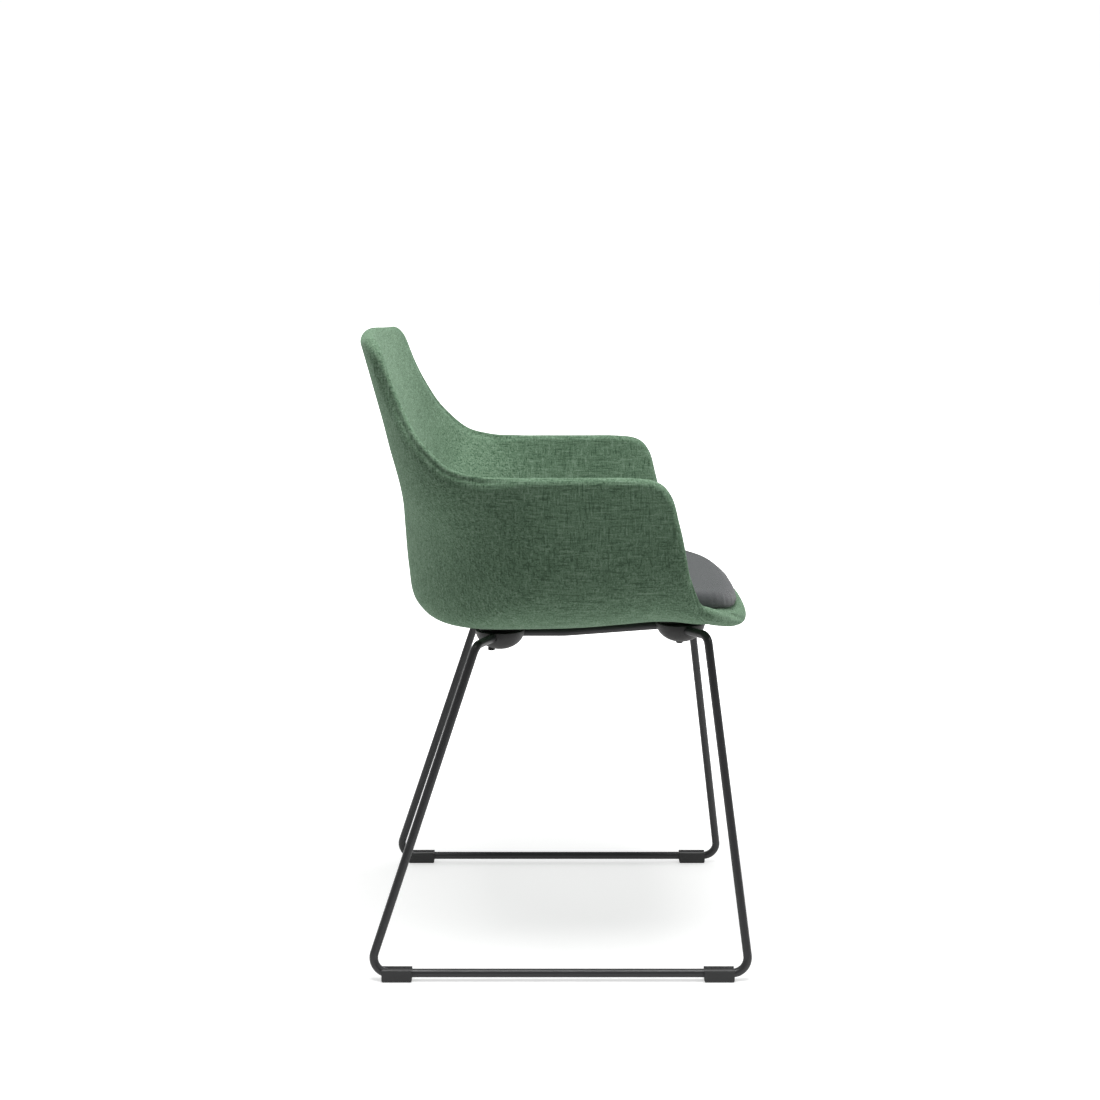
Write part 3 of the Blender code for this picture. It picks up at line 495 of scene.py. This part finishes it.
def make_tub():
    rays = outline_rays(-1.0, 1.0, 1.0, REAR_CORNER, FRONT_CORNER, HUBS, (16, 14, 150, 26, 14))
    wing = np.interp(rays.place, WING_PLACES, WING_SHARES)
    thin = thin_rim()
    plain = round_rim(len(thin))
    rim = plain[:, None] * (1 - wing)[None, :, None] + thin[:, None] * wing[None, :, None]
    shares = np.linspace(1, 0, 30)[:-1]
    rings = [ray_points(rays, rim[0, :, 0], share, WALL_HALF) for share in shares]
    wave = np.arange(len(rays.place))
    pucker = PUCKER * wing * np.sin(wave * 2.1) * np.sin(wave * 0.37 + 1)**2
    for distance, offset in rim.transpose(0, 2, 1):
        swell = pucker * np.exp(-((offset + 0.001) / PUCKER_WIDTH)**2)
        rings.append(ray_points(rays, distance - swell, 0.0, offset))
    rings += [ray_points(rays, rim[-1, :, 0], share, -WALL_HALF) for share in shares[::-1]]
    foot = np.interp(rays.place, FOOT_PLACES, FOOT_SHARES)[:, None]
    rings = [ring * (1 - foot) + even_out(ring, FOOT_PASSES) * foot for ring in rings]
    return skin("tub_upholstery", rings, GREEN)


TUB = make_tub()
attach(TUB, "root")
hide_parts("inner_cover", "outer_cover", "inner_padding")


SHELL_REAR_CORNER = (0.075, 0.16)
SHELL_INSET = 0.024
SHELL_ROUND = 0.002
SHELL_TOP = -0.0011
SHELL_MIDDLE = -0.0038
SHELL_BOTTOM = -0.0066


def make_shell():
    """The moulded shell inside the upholstery, held back from the thinner rim."""
    rays = outline_rays(-1.0, 1.0, 1.0, SHELL_REAR_CORNER, FRONT_CORNER, HUBS, (5, 5, 50, 9, 5))
    shares = np.linspace(1, 0, 9)
    rings = [ray_points(rays, SHELL_INSET, share, SHELL_TOP) for share in shares]
    rings += [ray_points(rays, SHELL_INSET - SHELL_ROUND, 0.0, SHELL_MIDDLE)]
    rings += [ray_points(rays, SHELL_INSET, share, SHELL_BOTTOM) for share in shares[::-1]]
    return skin("moulded_shell", rings, SHELL_PLASTIC)


SHELL = make_shell()
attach(SHELL, "root")
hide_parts("seat_shell")


# Seat pad

PAD_FRONT = 0.2405
PAD_REAR = -0.1215
PAD_SIDE = 0.2195
PAD_HEIGHT = 0.0262
PAD_SWELL = 0.0068
PAD_ROUND = 0.022
PAD_TUCK = 0.0042
PAD_FOOT = 0.003
PAD_LIFT = 0.0012
PAD_SLOPE = 0.36
PAD_SLOPE_START = 0.12
PAD_BOW = 0.009
PAD_TAPER = 0.155
PAD_POWER = 0.66
PAD_PUCKER = 0.0006
PAD_HUB = 0.12
PAD_COUNT = 240
RAY_START = 0.60


def pad_outline(count):
    """The pad's plan: a soft rectangle that narrows and bows at the front."""
    spots = []
    for k in range(count):
        turn = 2 * math.pi * k / count
        along, across = math.cos(turn), math.sin(turn)
        power = 2 / (4.4 if along > 0 else 3.4)
        x_share = math.copysign(abs(along)**power, along)
        y_share = math.copysign(abs(across)**power, across)
        middle, half = (PAD_FRONT + PAD_REAR) / 2, (PAD_FRONT - PAD_REAR) / 2
        x, y = middle + half * x_share, PAD_SIDE * y_share
        forward = max(x_share, 0)
        x -= PAD_BOW * forward**2 * (y / PAD_SIDE)**2
        y *= 1 - PAD_TAPER * forward**2.4
        spots.append((x, y))
    return np.array(spots)


def seat_heights(tree, spots):
    """Heights of the tub's upper side under plan points, by rays cast down."""
    found = []
    for x, y in spots:
        hit = tree.ray_cast(Vector((x, y, RAY_START)), Vector((0, 0, -1)))[0]
        found.append(hit.z if hit else np.nan)
    return np.array(found)


def make_pad():
    tree = BVHTree.FromObject(TUB, bpy.context.evaluated_depsgraph_get())
    outline = pad_outline(PAD_COUNT)
    hub_x = np.clip(outline[:, 0], PAD_REAR + PAD_HUB, PAD_FRONT - PAD_HUB)
    hubs = np.stack((hub_x, np.zeros(PAD_COUNT)), 1)
    reach = np.linalg.norm(outline - hubs, axis=1)

    def ring(distance, share, height):
        inward = np.minimum(distance / reach, 1) * (1 - share) + share
        spots = hubs + (outline - hubs) * (1 - inward)[:, None]
        level = even_out(seat_heights(tree, spots), 6)
        forward = np.clip((spots[:, 0] - PAD_SLOPE_START) / (PAD_FRONT - PAD_SLOPE_START), 0, 1)
        return np.column_stack((spots, level + PAD_LIFT + height * (1 - PAD_SLOPE * forward**2)))

    angle = np.arange(PAD_COUNT) * 2 * math.pi / PAD_COUNT
    waist = PAD_TUCK + PAD_FOOT
    rings = []
    for share in np.linspace(1, 0, 22)[:-1]:
        rings.append(ring(PAD_ROUND, share, PAD_HEIGHT + PAD_SWELL * (1 - (1 - share)**2)))
    for turn in np.radians(np.linspace(90, 0, 18)):
        drawn, raised = math.cos(turn)**PAD_POWER, math.sin(turn)**PAD_POWER
        pucker = PAD_PUCKER * np.sin(angle * 47) * np.sin(angle * 13 + 0.7)**2 * math.cos(turn)
        rings.append(ring(PAD_ROUND * (1 - drawn) + pucker, 0.0, waist + (PAD_HEIGHT - waist) * raised))
    for part in np.linspace(0.25, 1, 4):
        rings.append(ring(PAD_TUCK * part**2, 0.0, waist * (1 - part)))
    for share in (0.0, 0.15, 0.35, 0.6, 1.0):
        rings.append(ring(PAD_ROUND, share, 0.0))
    return skin("seat_pad", rings, CHARCOAL)


PAD = make_pad()
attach(PAD, "root")
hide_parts("pad_cover", "pad_foam")


# Base, with rounder rods and finer mouldings than the CAD source's

ROD_RADIUS = 0.0055
ROD_SIDES = 28
POST_SIDES = 32
FRONT_ROD = 0.4297
REAR_ROD = 0.4201
FRONT_SADDLE = 0.1656
REAR_SADDLE = -0.0672
RUNNER_SIDE = 0.2534
RUNNER_HEIGHT = 0.0102
RUNNER_BEND = 0.0195
LEG_BEND = 0.0125
LANE = 0.112
LANE_BEND = 0.016
RAIL_BEND = 0.150
# Each corner of a loop: X, Y on the left side, Z and the bend's radius
CORNERS = (
    (-0.2320, RUNNER_SIDE, RUNNER_HEIGHT, RUNNER_BEND),
    (0.2485, RUNNER_SIDE, RUNNER_HEIGHT, RUNNER_BEND),
    (0.1956, 0.1894, FRONT_ROD, LEG_BEND),
    (0.1450, LANE, FRONT_ROD, LANE_BEND),
    (0.0167, LANE, REAR_ROD, RAIL_BEND),
    (-0.0600, LANE, REAR_ROD, LANE_BEND),
    (-0.0955, 0.2064, REAR_ROD, LEG_BEND),
)
FIT = 0.0003
SPARE = 0.002

SADDLE_DEPTH = 0.0250
SADDLE_HALF_WIDTH = 0.0318
SADDLE_HALF_SPAN = 0.158
SADDLE_DOME = 0.034
SCREW_SIDE = 0.068
SCREW_HOLE = 0.0034
POCKET_RADIUS = 0.0066
POCKET_DEPTH = 0.0072

# Stacking buffers: their heads, and the shanks that go into the saddles
FRONT_STUD = 0.1641
REAR_STUD = -0.0782
STUD_SIDE = 0.131
BUFFER_SEAT = 0.0036
STUD_HEAD = 0.0046
STUD_LENGTH = 0.0042
STUD_ROUND = 0.0012
SHANK_RADIUS = 0.0024
SHANK_LENGTH = 0.0045

FRONT_GLIDE = 0.2100
REAR_GLIDE = -0.1954
GLIDE_WALL = 0.003
GLIDE_HEIGHT = 0.0164
GLIDE_HALF = 0.019
GLIDE_CORNER = 0.0030
GLIDE_EDGE = 0.0007
GLIDE_GRIP = 0.0006


def loop_path(side):
    """The closed centre line of one bent rod."""
    places = [Vector((x - SHIFT, side * y, z)) for x, y, z, _ in CORNERS]
    path = []
    for k, corner in enumerate(places):
        before = (places[k - 1] - corner).normalized()
        after = (places[(k + 1) % len(places)] - corner).normalized()
        turn = math.pi - before.angle(after)
        start = corner + before * (CORNERS[k][3] * math.tan(turn / 2))
        centre = corner + (before + after).normalized() * (CORNERS[k][3] / math.cos(turn / 2))
        steps = max(2, math.ceil(turn / math.radians(5)))
        axis = before.cross(after).normalized()
        for step in range(steps + 1):
            path.append(centre + Quaternion(axis, -turn * step / steps) @ (start - centre))
    return path


def circle(count):
    return [2 * math.pi * k / count for k in range(count)]


def quarter(radius, count):
    """A rounded corner's cut-backs along and up, from its side to its end."""
    turns = np.linspace(0, math.pi / 2, count)
    return [(radius * (1 - math.cos(t)), radius * (1 - math.sin(t))) for t in turns]


def rod(name, side, radius, material):
    """A bent rod round a loop's centre line."""
    path = loop_path(side)
    middle = sum(path, Vector()) / len(path)
    rings = []
    for k, point in enumerate(path):
        forward = (path[(k + 1) % len(path)] - path[k - 1]).normalized()
        outward = point - middle
        outward = (outward - forward * outward.dot(forward)).normalized()
        across = forward.cross(outward)
        rings.append([point + (outward * math.cos(t) + across * math.sin(t)) * radius
                      for t in circle(ROD_SIDES)])
    return skin(name, rings + rings[:1], material)


def cut(piece, *tools):
    """Takes the tools' shapes away from a piece and deletes the tools."""
    for tool in tools:
        step = piece.modifiers.new("cut", "BOOLEAN")
        step.operation, step.solver, step.object = "DIFFERENCE", "EXACT", tool
    bpy.context.view_layer.update()
    evaluated = piece.evaluated_get(bpy.context.evaluated_depsgraph_get())
    shaped = bpy.data.meshes.new_from_object(evaluated)
    piece.modifiers.clear()
    piece.data = shaped
    shaped.shade_smooth()
    shaped.set_sharp_from_angle(angle=CREASE)
    for tool in tools:
        bpy.data.objects.remove(tool, do_unlink=True)


def capped(name, rings, material):
    """A solid through open rings, closed with flat ends."""
    size = len(rings[0])
    vertices = [tuple(map(float, spot)) for ring in rings for spot in ring]
    ends = [tuple(range(size))[::-1], tuple(range(size * (len(rings) - 1), size * len(rings)))]
    return add_piece(name, vertices, ends + band(rings), material, crease=CREASE)


def turned(name, x, y, profile, material):
    """A turned solid through (radius, height) pairs, from its bottom up."""
    rings = [[(x - SHIFT + radius * math.cos(t), y + radius * math.sin(t), z)
              for t in circle(POST_SIDES)] for radius, z in profile]
    return capped(name, rings, material)


def post(x, y, radius, low, high):
    return turned("post", x, y, ((radius, low), (radius, high)), COAT)


def make_saddle(name, x, rod_height, buffer_x):
    """The moulded saddle: a boat shape with domed ends, grooves, pockets and sockets."""
    top = rod_height + ROD_RADIUS
    straight = SADDLE_HALF_SPAN - SADDLE_DOME
    stations = [(y, 1.0) for y in np.linspace(0, straight, 5)]
    for turn in np.radians(np.linspace(6, 86, 14)):
        stations.append((straight + SADDLE_DOME * math.sin(turn), math.cos(turn)**0.8))
    stations = [(-y, scale) for y, scale in stations[:0:-1]] + stations
    rings = []
    for y, scale in stations:
        rings.append([(x - SHIFT + SADDLE_HALF_WIDTH * scale * math.cos(t), y,
                       top - SADDLE_DEPTH * scale * math.sin(t)) for t in np.linspace(0, math.pi, 33)])
    saddle = capped(name, rings, SADDLE_PLASTIC)
    bottom = top - SADDLE_DEPTH
    seat, low = bottom + BUFFER_SEAT, bottom - SPARE
    tools = [rod("groove", side, ROD_RADIUS + FIT, COAT) for side in (-1, 1)]
    for side in (-1, 1):
        screw_y, stud_y = side * SCREW_SIDE, side * STUD_SIDE
        tools.append(post(x, screw_y, SCREW_HOLE, low, top + SPARE))
        tools.append(post(x, screw_y, POCKET_RADIUS, low, bottom + POCKET_DEPTH))
        tools.append(post(buffer_x, stud_y, STUD_HEAD + FIT, low, seat))
        tools.append(post(buffer_x, stud_y, SHANK_RADIUS + FIT, low, seat + SHANK_LENGTH + FIT))
    cut(saddle, *tools)
    return saddle


def make_glide(name, x, side):
    """The clip under a runner, with rounded lower corners and ends."""
    groove = ROD_RADIUS + FIT
    half, slot = groove + GLIDE_WALL, groove - GLIDE_GRIP
    lip = GLIDE_HEIGHT - GLIDE_EDGE
    outline = [(slot, RUNNER_HEIGHT), (slot, lip), (slot + GLIDE_EDGE, GLIDE_HEIGHT)]
    outline += [(half - GLIDE_EDGE, GLIDE_HEIGHT), (half, lip)]
    outline += [(half - back, up) for back, up in quarter(GLIDE_CORNER, 9)]
    section = outline + [(-y, z) for y, z in outline[::-1]]
    tip = [(GLIDE_HALF - back, up) for back, up in quarter(GLIDE_CORNER, 9)]
    stations = [(-along, lift) for along, lift in tip] + tip[::-1]
    rings = []
    for along, lift in stations:
        rings.append([(x - SHIFT + along, side * RUNNER_SIDE + y, max(z, lift)) for y, z in section])
    glide = capped(name, rings, GLIDE_PLASTIC)
    cut(glide, rod("groove", side, groove, COAT))
    return glide


def make_buffer(name, x, y, rod_height):
    """A soft stud with a rounded head."""
    seat = rod_height + ROD_RADIUS - SADDLE_DEPTH + BUFFER_SEAT - FIT
    low = seat - STUD_LENGTH
    profile = [(STUD_HEAD * 0.45, low)]
    profile += [(STUD_HEAD - back, low + up) for up, back in quarter(STUD_ROUND, 6)]
    profile += [(STUD_HEAD, seat), (SHANK_RADIUS, seat), (SHANK_RADIUS, seat + SHANK_LENGTH)]
    return turned(name, x, y, profile, RUBBER)


def take_over(piece, node):
    """The piece rides on the one body, and stands for the CAD's node."""
    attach(piece, "root")
    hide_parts(node)


ENDS = (
    ("front", FRONT_GLIDE, FRONT_STUD, FRONT_SADDLE, FRONT_ROD),
    ("rear", REAR_GLIDE, REAR_STUD, REAR_SADDLE, REAR_ROD),
)
for label, side in (("right", -1), ("left", 1)):
    loop = rod(f"{label}_bent_rod", side, ROD_RADIUS, COAT)
    take_over(loop, f"{label}_sled_loop")
    for end, glide_x, _, _, _ in ENDS:
        glide = make_glide(f"{end}_clip_{label}", glide_x, side)
        take_over(glide, f"glide_{end}_{label}")
    for end, _, stud_x, _, height in ENDS:
        stud = make_buffer(f"{end}_stud_{label}", stud_x, side * STUD_SIDE, height)
        take_over(stud, f"{end}_stack_buffer_{label}")
for end, _, stud_x, saddle_x, height in ENDS:
    saddle = make_saddle(f"{end}_moulded_saddle", saddle_x, height, stud_x)
    take_over(saddle, f"{end}_saddle")


# Floor and light. The floor and the studio are plain white to the camera, and the shares below say
# how much less of their light falls on the chair from the camera's side

FLOOR_HALF = 30
FLOOR_GLOW = 0.22
FLOOR_BASE = 0.75
FLOOR_FRONT = 0.12
FLOOR_FADE = (-1.1, -0.62)
BACKDROP_FADE = (0.2, 1.6)
WORLD_FADE = (-0.35, 0.80)
WORLD_FRONT = 0.02
WORLD_BACK = 1.02
SEEN_GLOW = 0.30
GLOSSY_SHARE = 0.30
# Name, place, target, size and power
LAMPS = (
    ("top_light", (0.1, -0.75, 2.8), (0, 0, 0.5), (1.6, 1.2), 62),
    ("side_light", (1.9, -1.0, 1.9), (0, 0, 0.45), (1.0, 1.0), 7),
)


def seen_plainly(tree):
    """1 for rays that show the studio to the camera, and less for those that reflect it."""
    path = tree.nodes.new("ShaderNodeLightPath")
    found = path.outputs["Is Camera Ray"]
    for name, share in (("Is Glossy Ray", GLOSSY_SHARE), ("Is Transmission Ray", 1.0)):
        sum_up = tree.nodes.new("ShaderNodeMath")
        sum_up.operation = "MULTIPLY_ADD"
        tree.links.new(path.outputs[name], sum_up.inputs[0])
        sum_up.inputs[1].default_value = share
        tree.links.new(found, sum_up.inputs[2])
        found = sum_up.outputs[0]
    return found


def make_floor():
    """A pale floor that throws less light on the object from the camera's side."""
    mesh = bpy.data.meshes.new("floor")
    corners = [(x * FLOOR_HALF, y * FLOOR_HALF, 0) for x, y in ((-1, -1), (1, -1), (1, 1), (-1, 1))]
    mesh.from_pydata(corners, [], [(0, 1, 2, 3)])
    floor = bpy.data.objects.new("floor", mesh)
    bpy.context.scene.collection.objects.link(floor)
    made = Nodes("floor", (0.90, 0.90, 0.90), 0.9)
    split = made.new("ShaderNodeSeparateXYZ")
    made.join(made.place(), split.inputs[0])
    seen = seen_plainly(made.tree)
    near = made.maths("MAXIMUM", made.spread(split.outputs["Y"], *FLOOR_FADE), seen)
    shade = made.ramp(near, ((0.0, [FLOOR_FRONT] * 3), (1.0, [FLOOR_BASE] * 3)))
    made.join(shade, made.shader.inputs["Base Color"])
    made.give(Emission_Color=(1, 1, 1, 1))
    far = made.spread(split.outputs["Y"], *BACKDROP_FADE)
    glow = made.maths("MULTIPLY_ADD", near, FLOOR_GLOW, far)
    glow = made.maths("MULTIPLY_ADD", seen, SEEN_GLOW, glow)
    made.join(glow, made.shader.inputs["Emission Strength"])
    mesh.materials.append(made.material)


def make_world():
    """A white studio, whose light is weaker behind the camera than behind the chair."""
    world = bpy.data.worlds.new("studio")
    bpy.context.scene.world = world
    world.use_nodes = True
    tree = world.node_tree
    background = tree.nodes["Background"]
    where = tree.nodes.new("ShaderNodeTexCoord")
    split = tree.nodes.new("ShaderNodeSeparateXYZ")
    level = tree.nodes.new("ShaderNodeMapRange")
    strength = tree.nodes.new("ShaderNodeMath")
    strength.operation = "MAXIMUM"
    tree.links.new(where.outputs["Generated"], split.inputs[0])
    tree.links.new(split.outputs["Y"], level.inputs["Value"])
    for key, value in zip(RANGE_ENDS, (*WORLD_FADE, WORLD_FRONT, WORLD_BACK)):
        level.inputs[key].default_value = value
    tree.links.new(level.outputs["Result"], strength.inputs[0])
    tree.links.new(seen_plainly(tree), strength.inputs[1])
    tree.links.new(strength.outputs[0], background.inputs["Strength"])
    background.inputs["Color"].default_value = (1, 1, 1, 1)


def make_lamp(name, place, target, size, power):
    """A rectangular lamp turned toward its target."""
    lamp = bpy.data.lights.new(name, "AREA")
    lamp.shape = "RECTANGLE"
    lamp.size, lamp.size_y = size
    lamp.energy = power
    holder = bpy.data.objects.new(name, lamp)
    holder.location = place
    holder.rotation_euler = (Vector(target) - Vector(place)).to_track_quat("-Z", "Y").to_euler()
    bpy.context.scene.collection.objects.link(holder)


make_floor()
make_world()
for lamp in LAMPS:
    make_lamp(*lamp)
bpy.context.scene.view_settings.view_transform = "Standard"
